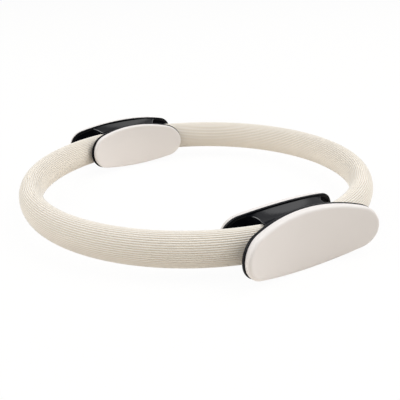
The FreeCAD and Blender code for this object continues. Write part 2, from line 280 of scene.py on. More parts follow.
class NodeSketch:
    """A short way to add and join the nodes of one tree."""

    def __init__(self, tree: bpy.types.NodeTree) -> None:
        """Start on a tree, emptied of its nodes."""
        self.tree = tree
        tree.nodes.clear()

    def add(
        self, kind: str, sockets: dict[str | int, object] | None = None, **settings: object
    ) -> bpy.types.Node:
        """Add a node.

        Args:
            kind: The node's type name.
            sockets: Values or sockets for its inputs, by name or number.
            settings: The node's own properties.

        Returns:
            The node.
        """
        node = self.tree.nodes.new(kind)
        for key, value in settings.items():
            setattr(node, key, value)
        for key, value in (sockets or {}).items():
            if isinstance(value, bpy.types.NodeSocket):
                self.tree.links.new(value, node.inputs[key])
            else:
                node.inputs[key].default_value = value
        return node


def linear(code: str) -> tuple[float, float, float, float]:
    """A colour written as six hexadecimal digits, as linear values with full alpha.

    Args:
        code: The digits of its red, green and blue.

    Returns:
        Its linear red, green and blue, and its alpha.
    """
    parts = [int(code[i : i + 2], 16) / 255 for i in (0, 2, 4)]
    red, green, blue = (p / 12.92 if p <= 0.04045 else ((p + 0.055) / 1.055) ** 2.4 for p in parts)
    return red, green, blue, 1.0


class MouldedSkin:
    """The grain and slight unevenness that moulded rubber and plastic have, as a node group."""

    NAME = "moulded_skin"
    CLOUDS_PER_METRE = 38.0
    CLOUD_DETAIL = 4.0
    CLOUD_RANGE = (0.3, 0.7)
    GRAIN_DETAIL = 2.0
    GRAIN_ROUGHNESS = 0.55
    DARKER = 0.86

    @classmethod
    def tree(cls) -> bpy.types.NodeTree:
        """Build the group once.

        Returns:
            A group that gives a mottled colour, a grain height and an uneven gloss.
        """
        made = bpy.data.node_groups.get(cls.NAME)
        if made is not None:
            return made
        group = bpy.data.node_groups.new(cls.NAME, "ShaderNodeTree")
        sketch = NodeSketch(group)
        for name, kind in (
            ("Colour", "NodeSocketColor"),
            ("Mottle", "NodeSocketFloat"),
            ("Grains per Metre", "NodeSocketFloat"),
            ("Roughness Low", "NodeSocketFloat"),
            ("Roughness High", "NodeSocketFloat"),
        ):
            group.interface.new_socket(name=name, in_out="INPUT", socket_type=kind)
        for name, kind in (
            ("Colour", "NodeSocketColor"),
            ("Grain", "NodeSocketFloat"),
            ("Roughness", "NodeSocketFloat"),
        ):
            group.interface.new_socket(name=name, in_out="OUTPUT", socket_type=kind)
        given = sketch.add("NodeGroupInput").outputs
        place = sketch.add("ShaderNodeTexCoord").outputs["Object"]
        clouds = sketch.add(
            "ShaderNodeTexNoise",
            {"Vector": place, "Scale": cls.CLOUDS_PER_METRE, "Detail": cls.CLOUD_DETAIL},
        )
        grain = sketch.add(
            "ShaderNodeTexNoise",
            {
                "Vector": place,
                "Scale": given["Grains per Metre"],
                "Detail": cls.GRAIN_DETAIL,
                "Roughness": cls.GRAIN_ROUGHNESS,
            },
        )
        darker = sketch.add("ShaderNodeHueSaturation", {"Value": cls.DARKER, "Color": given["Colour"]})
        shade = sketch.add(
            "ShaderNodeMath", {0: clouds.outputs["Fac"], 1: given["Mottle"]}, operation="MULTIPLY"
        )
        colour = sketch.add(
            "ShaderNodeMix",
            {"Factor": shade.outputs[0], "A": given["Colour"], "B": darker.outputs[0]},
            data_type="RGBA",
        )
        gloss = sketch.add(
            "ShaderNodeMapRange",
            {
                "Value": clouds.outputs["Fac"],
                "From Min": cls.CLOUD_RANGE[0],
                "From Max": cls.CLOUD_RANGE[1],
                "To Min": given["Roughness Low"],
                "To Max": given["Roughness High"],
            },
        )
        out = sketch.add("NodeGroupOutput")
        group.links.new(colour.outputs["Result"], out.inputs["Colour"])
        group.links.new(grain.outputs["Fac"], out.inputs["Grain"])
        group.links.new(gloss.outputs["Result"], out.inputs["Roughness"])
        return group


@dataclass(frozen=True)
class Finish:
    """What all the finishes share: a mottled colour, a fine grain and an uneven gloss."""

    name: str
    slot: str
    colour: str
    mottle: float
    roughness: tuple[float, float]
    grains_per_metre: float
    grain_depth: float
    grain_strength: float

    def looks(self, sketch: NodeSketch, colour: bpy.types.NodeSocket) -> dict[str, object]:
        """The inputs of the shader that a kind of finish sets in its own way.

        Args:
            sketch: The material's tree.
            colour: The mottled colour.

        Returns:
            Values or sockets, by the input's name.
        """
        return {"Base Color": colour}

    def material(self) -> bpy.types.Material:
        """Build the material, or find it if it is there.

        Returns:
            The material.
        """
        made = bpy.data.materials.get(self.name)
        if made is not None:
            return made
        material = bpy.data.materials.new(self.name)
        material.use_nodes = True
        sketch = NodeSketch(material.node_tree)
        low, high = self.roughness
        skin = sketch.add(
            "ShaderNodeGroup",
            {
                "Colour": linear(self.colour),
                "Mottle": self.mottle,
                "Grains per Metre": self.grains_per_metre,
                "Roughness Low": low,
                "Roughness High": high,
            },
            node_tree=MouldedSkin.tree(),
        )
        bump = sketch.add(
            "ShaderNodeBump",
            {
                "Strength": self.grain_strength,
                "Distance": self.grain_depth,
                "Height": skin.outputs["Grain"],
            },
        )
        shared = {"Roughness": skin.outputs["Roughness"], "Normal": bump.outputs["Normal"]}
        own = self.looks(sketch, skin.outputs["Colour"])
        surface = sketch.add("ShaderNodeBsdfPrincipled", {**shared, **own})
        sketch.add("ShaderNodeOutputMaterial", {"Surface": surface.outputs["BSDF"]})
        return material


@dataclass(frozen=True)
class MouldedFinish(Finish):
    """A moulded rubber or plastic surface, which may have grooves darkened by painted shade or polished
    places.
    """

    specular: float = 0.5
    groove_colour: str = ""
    groove_shade_attribute: str = ""
    polish_attribute: str = ""
    polish_roughness: float = 0.27
    polish_ior: float = 1.8

    def looks(self, sketch: NodeSketch, colour: bpy.types.NodeSocket) -> dict[str, object]:
        """The colour with painted shade in its grooves, and the gloss with a coat where the piece is
        polished.

        Args:
            sketch: The material's tree.
            colour: The mottled colour.

        Returns:
            Values or sockets, by the input's name.
        """
        looks: dict[str, object] = {"Base Color": colour, "Specular IOR Level": self.specular}
        # Painted shade: deep in the grooves the colour turns darker, standing in for the shade that
        # falls there.
        if self.groove_shade_attribute:
            groove = sketch.add("ShaderNodeAttribute", attribute_name=self.groove_shade_attribute)
            mixed = sketch.add(
                "ShaderNodeMix",
                {"Factor": groove.outputs["Fac"], "A": colour, "B": linear(self.groove_colour)},
                data_type="RGBA",
            )
            looks["Base Color"] = mixed.outputs["Result"]
        if self.polish_attribute:
            polish = sketch.add("ShaderNodeAttribute", attribute_name=self.polish_attribute)
            looks["Coat Weight"] = polish.outputs["Fac"]
            looks["Coat Roughness"] = self.polish_roughness
            looks["Coat IOR"] = self.polish_ior
        return looks


@dataclass(frozen=True)
class MetalFinish(Finish):
    """A turned or ground metal surface with a fine grain."""

    mottle: float = 0.5
    roughness: tuple[float, float] = (0.25, 0.4)
    grains_per_metre: float = 4000.0
    grain_depth: float = 0.02 * MM
    grain_strength: float = 0.2

    def looks(self, sketch: NodeSketch, colour: bpy.types.NodeSocket) -> dict[str, object]:
        """The inputs of the shader for bare metal."""
        return {"Base Color": colour, "Metallic": 1.0}


GROOVE = "groove"
POLISH = "polish"
RIBBED_SLEEVE = MouldedFinish(
    name="ribbed_sleeve",
    slot="sleeve",
    colour="EAE7E1",
    mottle=0.06,
    roughness=(0.5, 0.62),
    grains_per_metre=2600.0,
    grain_depth=0.04 * MM,
    grain_strength=0.04,
    specular=0.3,
    # Painted shade: the groove colour darkens the rib grooves, where shade falls.
    groove_colour="D5C7B1",
    groove_shade_attribute=GROOVE,
)
SOFT_PAD = MouldedFinish(
    name="soft_pad",
    slot="pad",
    colour="E7E2DF",
    mottle=0.15,
    roughness=(0.42, 0.55),
    grains_per_metre=2200.0,
    grain_depth=0.08 * MM,
    grain_strength=0.3,
    specular=0.4,
)
GLOSS_SHELL = MouldedFinish(
    name="gloss_shell",
    slot="shell",
    colour="08090E",
    mottle=0.6,
    roughness=(0.22, 0.32),
    grains_per_metre=3200.0,
    grain_depth=0.03 * MM,
    grain_strength=0.15,
    specular=0.02,
    polish_attribute=POLISH,
)
SPRING_LEAF = MouldedFinish(
    name="spring_leaf",
    slot="leaf",
    colour="3A3B3A",
    mottle=0.8,
    roughness=(0.45, 0.6),
    grains_per_metre=1500.0,
    grain_depth=0.05 * MM,
    grain_strength=0.3,
)
SCREW_STEEL = MetalFinish(name="screw_steel", slot="steel", colour="B9BBBD")
INSERT_BRASS = MetalFinish(name="insert_brass", slot="insert", colour="C9A566")


def dress(piece: bpy.types.Object, finish: Finish) -> None:
    """Give a piece one finish.

    Args:
        piece: The piece.
        finish: Its finish.
    """
    piece.data.materials.clear()
    piece.data.materials.append(finish.material())


@dataclass
class Tube:
    """The ring's tube: an upright ellipse in section, swept about the ring's axis."""

    ring_radius: float
    half_height: float
    mid_height: float
    half_width: float = 11.3 * MM
    mouth_angle: float = math.radians(12.0)
    hinge_gap: float = 0.5 * MM

    @classmethod
    def from_frame(cls) -> "Tube":
        """Read the tube's sizes from a sleeve in the frame.

        Returns:
            The tube.
        """
        low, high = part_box("right_rear_sleeve")
        mid_height = (low.z + high.z) / 2
        return cls(high.x - cls.half_width, (high.z - low.z) / 2, mid_height)

    def ring_point(self, azimuth: np.ndarray, radius: np.ndarray, up: np.ndarray) -> np.ndarray:
        """Points at a bearing from +X, a distance from the axis and a height over the mid-plane."""
        x, y = radius * np.cos(azimuth), radius * np.sin(azimuth)
        return np.column_stack(np.broadcast_arrays(x, y, up + self.mid_height))

    def ellipse(self, turn: np.ndarray) -> np.ndarray:
        """Points of the section, outwards and up from its centre."""
        return np.column_stack((self.half_width * np.cos(turn), self.half_height * np.sin(turn)))

    def ellipse_normal(self, turn: np.ndarray) -> np.ndarray:
        """Which way the section faces at those points."""
        normal = np.column_stack((np.cos(turn) / self.half_width, np.sin(turn) / self.half_height))
        return normal / np.linalg.norm(normal, axis=1)[:, None]


@dataclass
class Sleeve:
    """One half of the ring's ribbed rubber sleeve, closed by a round end in each grip's mouth."""

    tube: Tube
    side: Side
    ribs: int = 44
    rib_points: tuple[float, ...] = (0.0, 0.06, 0.15, 0.3, 0.5, 0.7, 0.85, 0.94)
    rib_depth: float = 0.5 * MM
    outline_steps: int = 14000
    sweep_steps: int = 104
    dome_steps: int = 8
    bend_half_length: float = 70.0 * MM
    end_tolerance: float = 1e-4
    sharp: float = 75.0

    def section(self) -> tuple[np.ndarray, np.ndarray]:
        """The ribbed section, with ribs of equal width all round.

        Returns:
            Each point's offset from the section's centre, outwards and up, and how deep in a groove
            it is.
        """
        across = np.tile(self.rib_points, self.ribs)
        along = (np.repeat(np.arange(self.ribs), len(self.rib_points)) + across) / self.ribs
        turn = np.linspace(0.0, 2 * math.pi, self.outline_steps)
        steps = np.diff(self.tube.ellipse(turn), axis=0)
        run = np.concatenate(([0.0], np.cumsum(np.hypot(*steps.T))))
        turn = np.interp(along * run[-1], run, turn)
        groove = 1.0 - np.sin(math.pi * across)
        depth = self.rib_depth * groove[:, None]
        return self.tube.ellipse(turn) - depth * self.tube.ellipse_normal(turn), groove

    def end_loop(
        self, section: np.ndarray, azimuth: float, beyond: float = 0.0, share: float = 1.0
    ) -> np.ndarray:
        """The section at an end of the sweep, moved on along the tube and shrunk.

        Args:
            section: The section's offsets.
            azimuth: The end's bearing.
            beyond: How far to move on, anticlockwise.
            share: What is left of the section's size.

        Returns:
            The loop's points.
        """
        tube = self.tube
        out, up = share * section.T
        points = tube.ring_point(np.array(azimuth), tube.ring_radius + out, up)
        tangent = np.array((-math.sin(azimuth), math.cos(azimuth), 0.0))
        return points + beyond * tangent

    def build(self) -> bpy.types.Object:
        """Sweep the section round the right half, close its ends and turn it to its side.

        Returns:
            The sleeve.
        """
        section, groove = self.section()
        half_turn = math.pi / 2 - self.tube.mouth_angle
        first = self.end_loop(section, -half_turn)
        piece = Workbench.start_loop(f"{self.side.label}_sleeve", first)
        Workbench.spin(self.sweep_steps, -2 * half_turn)
        self.add_dome(piece, section, half_turn, 1.0)
        self.select_end(piece, -half_turn)
        self.add_dome(piece, section, -half_turn, -1.0)
        Workbench.finish(piece, self.sharp)
        place = Workbench.numbers(piece, Workbench.PLACE)
        # The groove mask places the sleeve material's painted shade in its grooves.
        Workbench.mark(piece, GROOVE, groove[place])
        Workbench.turn(piece, self.side.value)
        dress(piece, RIBBED_SLEEVE)
        front, rear = f"{self.side.label}_front", f"{self.side.label}_rear"
        self.bend(piece)
        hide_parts(f"{front}_sleeve", f"{rear}_sleeve")
        return piece

    def bend(self, piece: bpy.types.Object) -> None:
        """Bake a piece's place into its mesh.

        Args:
            piece: The piece.
        """
        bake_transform(piece)

    def add_dome(
        self, piece: bpy.types.Object, section: np.ndarray, azimuth: float, sense: float
    ) -> None:
        """Round off the selected end loop.

        Args:
            piece: The piece in edit mode.
            section: The section's offsets.
            azimuth: The end's bearing.
            sense: 1.0 where the end looks anticlockwise, else -1.0.
        """
        for step in range(1, self.dome_steps + 1):
            lean = step / self.dome_steps * math.pi / 2
            beyond = sense * self.tube.half_width * math.sin(lean)
            Workbench.next_loop(piece, self.end_loop(section, azimuth, beyond, math.cos(lean)))

    def select_end(self, piece: bpy.types.Object, azimuth: float) -> None:
        """Select only the open loop at a bearing.

        Args:
            piece: The piece in edit mode.
            azimuth: The loop's bearing from +X.
        """
        bpy.ops.mesh.select_all(action="DESELECT")
        mesh = bmesh.from_edit_mesh(piece.data)
        for vertex in mesh.verts:
            bearing = math.atan2(vertex.co.y, vertex.co.x)
            vertex.select = abs(bearing - azimuth) < self.end_tolerance
        mesh.select_flush_mode()
        bmesh.update_edit_mesh(piece.data)


@dataclass
class Leaf:
    """One of a side's two spring leaves, in three stretches: inside the sleeve and in both grips."""

    sleeve: Sleeve
    outer: bool
    thickness: float = 2.0 * MM
    height: float = 20.0 * MM
    parting: float = 0.4 * MM
    corner: float = 0.3 * MM
    end_angle: float = math.radians(1.0)
    grip_end_angle: float = math.radians(7.5)
    sleeve_end_angle: float = math.radians(9.0)
    steps_per_turn: int = 240
    least_steps: int = 2
    sharp: float = 40.0

    def section(self) -> np.ndarray:
        """The leaf's section with eased corners, outwards from its middle and up.

        Returns:
            The section's points in order.
        """
        wide, tall = self.thickness / 2, self.height / 2
        quarter = [(wide - self.corner, tall), (wide, tall - self.corner)]
        right = [*quarter, *((x, -z) for x, z in reversed(quarter))]
        return np.array([*right, *((-x, -z) for x, z in right)])

    def stretch(self, name: str, start: float, stop: float) -> bpy.types.Object:
        """Spin the section along part of the right half of the ring.

        Args:
            name: The new piece's name.
            start: Its first bearing.
            stop: Its last bearing.

        Returns:
            The closed piece, turned to its side.
        """
        tube = self.sleeve.tube
        shift = (self.thickness + self.parting) / 2 * (1 if self.outer else -1)
        out, up = self.section().T
        loop = tube.ring_point(np.array(start), tube.ring_radius + shift + out, up)
        piece = Workbench.start_loop(name, loop)
        steps = round(self.steps_per_turn * (stop - start) / (2 * math.pi))
        Workbench.spin(max(self.least_steps, steps), start - stop)
        Workbench.fill_open_ends()
        Workbench.finish(piece, self.sharp)
        Workbench.turn(piece, self.sleeve.side.value)
        dress(piece, SPRING_LEAF)
        return piece

    def build(self) -> list[bpy.types.Object]:
        """Make the three stretches.

        Returns:
            The stretch inside the sleeve, and those held in the front and the rear grip.
        """
        side = self.sleeve.side
        node = f"{side.label}_{'outer' if self.outer else 'inner'}_leaf"
        right_angle = math.pi / 2
        reach = right_angle - self.sleeve_end_angle
        middle = self.stretch(node + "_middle", -reach, reach)
        self.sleeve.bend(middle)
        held = []
        for end in End:
            at_front = (end is End.FRONT) == (side is Side.RIGHT)
            start, stop = self.end_angle - right_angle, self.grip_end_angle - right_angle
            if not at_front:
                start, stop = -stop, -start
            piece = self.stretch(f"{node}_in_{end.label}_grip", start, stop)
            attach(piece, f"{end.label}_handle")
            held.append(piece)
        for piece in (middle, *held):
            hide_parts(node)
        return [middle, *held]


@dataclass
class Oval:
    """A pad's outline: two end arcs that run into two long arcs."""

    half_length: float
    half_height: float
    end_radius: float
    points_per_end: int = 46
    points_per_length: int = 50

    @classmethod
    def of_node(
        cls, node: str, tube: Tube, end_radius: float, longer: float = 0.0, taller: float = 0.0
    ) -> "Oval":
        """The outline of a piece of the front grip.

        Args:
            node: The frame's node that gives the length and the height.
            tube: The ring's tube, for the mid-plane.
            end_radius: The radius of the end arcs.
            longer: What each end gains on the node.
            taller: What the top and the bottom gain on the node.

        Returns:
            The outline.
        """
        low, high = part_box(node)
        return cls((high.x - low.x) / 2 + longer, high.z - tube.mid_height + taller, end_radius)

    @property
    def reach(self) -> float:
        """How far the end arcs' centres are from the middle."""
        return self.half_length - self.end_radius

    @property
    def long_radius(self) -> float:
        """The radius of the two long arcs."""
        rise = self.half_height - self.end_radius
        return (self.reach**2 + self.half_height**2 - self.end_radius**2) / (2 * rise)

    def loop(self, inset: float = 0.0, share: float = 1.0) -> np.ndarray:
        """The outline, drawn in and then shrunk about its middle.

        Args:
            inset: How far to draw it in, at right angles to itself.
            share: What is left of its size after that.

        Returns:
            Points across and up.
        """
        drop = self.long_radius - self.half_height
        lean = math.atan2(drop, self.reach)
        half = math.pi
        arcs = (
            (self.reach, 0.0, self.end_radius, -lean, lean, self.points_per_end),
            (0.0, -drop, self.long_radius, lean, half - lean, self.points_per_length),
            (-self.reach, 0.0, self.end_radius, half - lean, half + lean, self.points_per_end),
            (0.0, drop, self.long_radius, half + lean, 2 * half - lean, self.points_per_length),
        )
        runs = []
        for x, z, radius, start, stop, count in arcs:
            turn = np.linspace(start, stop, count, endpoint=False)
            drawn = radius - inset
            runs.append(np.column_stack((x + drawn * np.cos(turn), z + drawn * np.sin(turn))))
        return share * np.concatenate(runs)

    def heights_at(self, across: np.ndarray) -> np.ndarray:
        """The outline's half height at distances from its middle.

        Args:
            across: The distances.

        Returns:
            The half heights.
        """
        drop = self.long_radius - self.half_height
        on_length = np.sqrt(self.long_radius**2 - across**2) - drop
        on_end = np.sqrt(np.maximum(0.0, self.end_radius**2 - (np.abs(across) - self.reach) ** 2))
        return np.where(np.abs(across) * drop > self.reach * (drop + on_end), on_end, on_length)


@dataclass
class Seat:
    """The upright cylinder that a pad is glued to."""

    axis: float
    radius: float

    @classmethod
    def flared(cls, tube: Tube, radius: float, plate: float, clearance: float) -> "Seat":
        """The seat of a plate that flares away from the tube.

        Args:
            tube: The ring's tube.
            radius: The seat's own radius.
            plate: The plate's thickness.
            clearance: How far the plate clears the tube at the grip's mouth.

        Returns:
            The seat, its axis in front of the grip.
        """
        outside = tube.ring_radius + tube.half_width
        across = outside * math.sin(tube.mouth_angle)
        back = outside * math.cos(tube.mouth_angle) + clearance
        return cls(-back - math.sqrt((radius + plate) ** 2 - across**2), radius)

    def lay(self, outline: np.ndarray, depth: float, tube: Tube) -> np.ndarray:
        """Lay points of an outline on the cylinder.

        Args:
            outline: Points across and up.
            depth: How far the points stand off the seat, towards the tube.
            tube: The ring's tube, for the mid-plane.

        Returns:
            The points in the frame, for the front grip, none of them below the floor.
        """
        radius = self.radius + depth
        sense = 1.0 if self.axis < 0 else -1.0
        y = self.axis + sense * np.sqrt(radius**2 - outline[:, 0] ** 2)
        return np.column_stack((outline[:, 0], y, np.maximum(outline[:, 1] + tube.mid_height, 0.0)))

    def ring_radius_at(self, bearing: float, depth: float) -> float:
        """How far the seat, moved by a depth, is from the ring's axis.

        Args:
            bearing: The place's bearing from the grip's middle.
            depth: How far the seat is moved, towards the tube.

        Returns:
            The distance.
        """
        radius = self.radius + depth
        if self.axis == 0.0:
            return radius
        along = math.sqrt(radius**2 - (self.axis * math.sin(bearing)) ** 2)
        return -self.axis * math.cos(bearing) - along


@dataclass
class Pad:
    """A moulded soft pad: flat where it is glued, rounded at its rim and slightly crowned."""

    name: str
    oval: Oval
    seat: Seat
    tube: Tube
    thickness: float
    edge_round: float
    edge_power: float = 2.6
    crown: float = 0.4 * MM
    glue_line: float = 0.25 * MM
    foot_round: float = 0.5 * MM
    back_steps: int = 4
    foot_steps: int = 4
    round_steps: int = 15
    face_steps: int = 16
    sharp: float = 60.0

    def profile(self) -> list[tuple[float, float, float]]:
        """The pad's section from the middle of its back to the middle of its front.

        Returns:
            For each loop its inset, its share of the size and its distance from the seat.
        """
        steps = [(self.foot_round, i / self.back_steps, 0.0) for i in range(self.back_steps)]
        for lean in quarter_turn(self.foot_steps):
            inset = self.glue_line + (self.foot_round - self.glue_line) * (1 - math.sin(lean))
            steps.append((inset, 1.0, self.foot_round * (1 - math.cos(lean))))
        wall, power = self.thickness - self.crown - self.edge_round, 2 / self.edge_power
        for lean in quarter_turn(self.round_steps):
            inset = self.edge_round * (1 - math.cos(lean) ** power)
            steps.append((inset, 1.0, wall + self.edge_round * math.sin(lean) ** power))
        for share in np.linspace(1.0, 0.0, self.face_steps)[1:]:
            steps.append((self.edge_round, share, self.thickness - self.crown * share**2))
        return steps

    def build(self, front_piece: bpy.types.Object | None, end: End) -> bpy.types.Object:
        """Draw the pad for the front grip, or turn a copy of it to the rear.

        Args:
            front_piece: The front grip's pad, for the rear one.
            end: The grip.

        Returns:
            The pad.
        """
        name = f"{end.label}_{self.name}_cushion"
        if front_piece is None:
            loops = [
                self.seat.lay(self.oval.loop(inset, share), -depth, self.tube)
                for inset, share, depth in self.profile()
            ]
            piece = Workbench.loft(name, loops)
            Workbench.finish(piece, self.sharp)
        else:
            piece = Workbench.turned_copy(front_piece, name, end.value)
        dress(piece, SOFT_PAD)
        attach(piece, f"{end.label}_handle")
        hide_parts(f"{end.label}_{self.name}")
        return piece


@dataclass
class Shell:
    """One of a grip's two black shells: a plate with a raised lip, and half of the grip's body."""

    name: str
    oval: Oval
    seat: Seat
    tube: Tube
    plate: float
    outer: bool
    lip_width: float = 2.4 * MM
    lip_height: float = 0.8 * MM
    edge_round: float = 0.5 * MM
    valley_bottom: float = 17.4 * MM
    valley_power: float = 1.6
    lip_margin: float = 1.2 * MM
    cheek_end: float = 41.0 * MM
    notch_power: float = 3.0
    notch_fade: float = 20.0 * MM
    parting: float = 0.05 * MM
    sink: float = 1.0 * MM
    slot_half_width: float = 2.8 * MM
    slot_half_height: float = 11.0 * MM
    slot_power: float = 8.0
    mouth_power: float = 2.0
    mouth_start: float = 0.1
    rim_round: float = 0.8 * MM
    rim_shares: tuple[float, ...] = (0.0, 0.12, 0.4, 1.0)
    valley_polish: float = 0.22
    lip_polish: float = 0.14
    edge_polish: float = 1.0
    polish_margin: float = math.radians(0.3)
    edge_margin: float = math.radians(1.2)
    face_steps: int = 12
    round_steps: int = 4
    mouth_steps: int = 10
    middle_steps: int = 7
    path_points: int = 16
    wall_points: int = 4
    hole_loops: int = 2
    edge_loops: int = 4
    plate_sharp: float = 50.0
    body_sharp: float = 35.0

    @property
    def face(self) -> float:
        """How far the plate's recessed face stands off the seat."""
        return self.plate - self.lip_height

    @property
    def sense(self) -> float:
        """Which way the plate lies from the tube: 1.0 outwards, -1.0 inwards."""
        return 1.0 if self.outer else -1.0

    def plate_profile(self) -> list[tuple[float, float, float]]:
        """The plate's section from the middle of its seat to the middle of its other face.

        Returns:
            For each loop its inset, its share of the size and its distance from the seat.
        """
        edge, half, leans = self.edge_round, self.lip_height / 2, quarter_turn(self.round_steps)
        steps = [(edge, share, 0.0) for share in np.linspace(0.0, 1.0, self.face_steps)]
        for lean in leans:
            steps.append((edge * (1 - math.sin(lean)), 1.0, edge * (1 - math.cos(lean))))
        for lean in leans:
            depth = self.plate - edge * (1 - math.sin(lean))
            steps.append((edge * (1 - math.cos(lean)), 1.0, depth))
        for lean in leans:
            depth = self.plate - half * (1 - math.cos(lean))
            steps.append((self.lip_width + half * math.sin(lean), 1.0, depth))
        for lean in leans[1:]:
            inset = self.lip_width + half + half * (1 - math.cos(lean))
            steps.append((inset, 1.0, self.face + half * (1 - math.sin(lean))))
        last = self.lip_width + 2 * half
        for share in np.linspace(1.0, 0.0, self.face_steps)[1:]:
            steps.append((last, share, self.face))
        return steps

    def polish_plate(self, plate: bpy.types.Object) -> None:
        """Polish the plate's edge and the inner side of its lip a little, and leave the rest matt.

        Args:
            plate: The plate, before the body joins it.
        """
        row = Workbench.numbers(plate, Workbench.ROW) - self.face_steps
        middle = self.round_steps // 2
        edge = (row >= middle) & (row < middle + self.round_steps)
        lip = (row >= 2 * self.round_steps) & (row < 4 * self.round_steps - 2)
        Workbench.mark(plate, POLISH, self.lip_polish * (edge | lip))

    def stations(self) -> list[tuple[float, float]]:
        """Where the body's sections stand, closer together in the mouths.

        Returns:
            Each section's bearing from the grip's middle and its distance from the nearer mouth.
        """
        tube = self.tube
        mouth = tube.half_width + tube.hinge_gap
        leans = np.linspace(self.mouth_start, math.pi / 2, self.mouth_steps)
        middle = tube.ring_radius * tube.mouth_angle
        distances = [
            *(self.rim_round * share for share in self.rim_shares),
            *(mouth * math.sin(lean) for lean in leans),
            *np.linspace(mouth, middle, self.middle_steps)[1:],
        ]
        half = [(distance / tube.ring_radius - tube.mouth_angle, distance) for distance in distances]
        return [*half, *((-bearing, distance) for bearing, distance in reversed(half[:-1]))]

    def across(self, radius: np.ndarray, bearing: float, grip: "Grip") -> np.ndarray:
        """Where distances from the ring's axis lie between the plates.

        Args:
            radius: The distances.
            bearing: The section's bearing from the grip's middle.
            grip: The grip, for its two plates.

        Returns:
            -1 at the inner plate to 1 at the outer one.
        """
        inside = grip.inner_shell.seat.ring_radius_at(bearing, grip.inner_shell.face)
        outside = grip.outer_shell.seat.ring_radius_at(bearing, grip.outer_shell.face)
        return np.clip((2 * radius - inside - outside) / (outside - inside), -1.0, 1.0)

    def outside_path(
        self, bearing: float, distance: float, grip: "Grip"
    ) -> tuple[np.ndarray, np.ndarray, np.ndarray]:
        """The outside of a section from its top in the middle to its bottom there.

        Args:
            bearing: The section's bearing from the grip's middle.
            distance: Its distance from the nearer mouth.
            grip: The grip, for its two plates.

        Returns:
            Each point's bearing, which runs on along the plates near a mouth, its distance from the
            ring's axis and its height over the mid-plane.
        """
        first = self.tube.ring_radius + self.sense * self.parting
        face = self.seat.ring_radius_at(bearing, self.face)
        sunk = face + self.sense * self.sink
        radius = np.append(np.linspace(first, face, self.path_points - 1), sunk)
        share = np.abs(self.across(radius, bearing, grip))
        reach = np.arcsin(self.cheek_end / radius) - self.tube.mouth_angle
        notch = math.copysign(max(0.0, 1.0 - distance / self.notch_fade), bearing)
        bearings = bearing + notch * reach * share**self.notch_power
        side = self.oval.heights_at(face * np.sin(bearings)) - self.lip_margin
        rise = (side - self.valley_bottom) * share**self.valley_power
        up = self.valley_bottom + rise - self.ease(distance)
        wall = np.linspace(up[-1], -up[-1], self.wall_points + 2)[1:-1]
        last = np.full(self.wall_points, len(radius) - 1)
        order = np.concatenate((np.arange(len(radius)), last, np.arange(len(radius))[::-1]))
        return bearings[order], radius[order], np.concatenate((up, wall, -up[::-1]))

    def ease(self, distance: float) -> float:
        """How far the rounding of a mouth's edge draws the outside in."""
        short = self.rim_round - min(distance, self.rim_round)
        return self.rim_round - math.sqrt(self.rim_round**2 - short**2)

    def inside_path(self, distance: float, count: int) -> tuple[np.ndarray, np.ndarray]:
        """The mouth or the leaves' slot in a section, from its top to its bottom.

        Args:
            distance: The section's distance from the nearer mouth.
            count: How many points to give.

        Returns:
            Each point's distance from the ring's axis and its height over the mid-plane.
        """
        tube, ease = self.tube, self.ease(distance)
        mouth_wide = tube.half_width + tube.hinge_gap
        mouth_tall = tube.half_height + tube.hinge_gap
        left = math.sqrt(max(0.0, 1.0 - (distance / mouth_wide) ** 2))
        in_mouth = left * mouth_wide > self.slot_half_width
        power = self.mouth_power if in_mouth else self.slot_power
        wide = max(left * mouth_wide + ease, self.slot_half_width)
        tall = max(left * mouth_tall + ease, self.slot_half_height)
        turn = np.linspace(math.pi / 2, -math.pi / 2, count)
        out = wide * np.abs(np.cos(turn)) ** (2 / power)
        rise = tall * np.sign(np.sin(turn)) * np.abs(np.sin(turn)) ** (2 / power)
        return tube.ring_radius + self.sense * np.maximum(out, self.parting), rise

    def body_loops(self, grip: "Grip") -> list[np.ndarray]:
        """The half body's sections, from the rim of one mouth's hole to that of the other.

        Args:
            grip: The grip, for its two plates.

        Returns:
            The loops, each the outside and back along the inside.
        """
        loops = []
        for bearing, distance in self.stations():
            bearings, radius, up = self.outside_path(bearing, distance, grip)
            inner_radius, inner_up = self.inside_path(distance, len(radius))
            outside = self.tube.ring_point(bearings - math.pi / 2, radius, up)
            inside = self.tube.ring_point(np.array(bearing - math.pi / 2), inner_radius, inner_up)
            section = np.concatenate((outside, inside[::-1]))
            if distance > 0.0:
                loops.append(section)
            else:
                hole = np.concatenate((inside, inside[::-1]))
                loops += [hole, section] if bearing < 0 else [section, hole]
        return loops

    def polish_body(self, body: bpy.types.Object, loops: list[np.ndarray]) -> None:
        """Polish the body between the mouths, most of all at their edges, and leave the rest matt.

        Args:
            body: The half body.
            loops: Its sections.
        """
        place = Workbench.numbers(body, Workbench.PLACE)
        row = Workbench.numbers(body, Workbench.ROW)
        from_end = np.minimum(row, len(loops) - 1 - row)
        outside = (place < len(loops[0]) // 2) & (from_end >= self.hole_loops)
        spots = np.array([loops[at][spot] for at, spot in zip(row, place)])
        beyond = np.abs(np.arctan2(spots[:, 0], -spots[:, 1])) - self.tube.mouth_angle
        polish = np.where(outside & (beyond < self.polish_margin), self.valley_polish, 0.0)
        edge = outside & (from_end < self.edge_loops) & (beyond < self.edge_margin)
        Workbench.mark(body, POLISH, np.where(edge, self.edge_polish, polish))

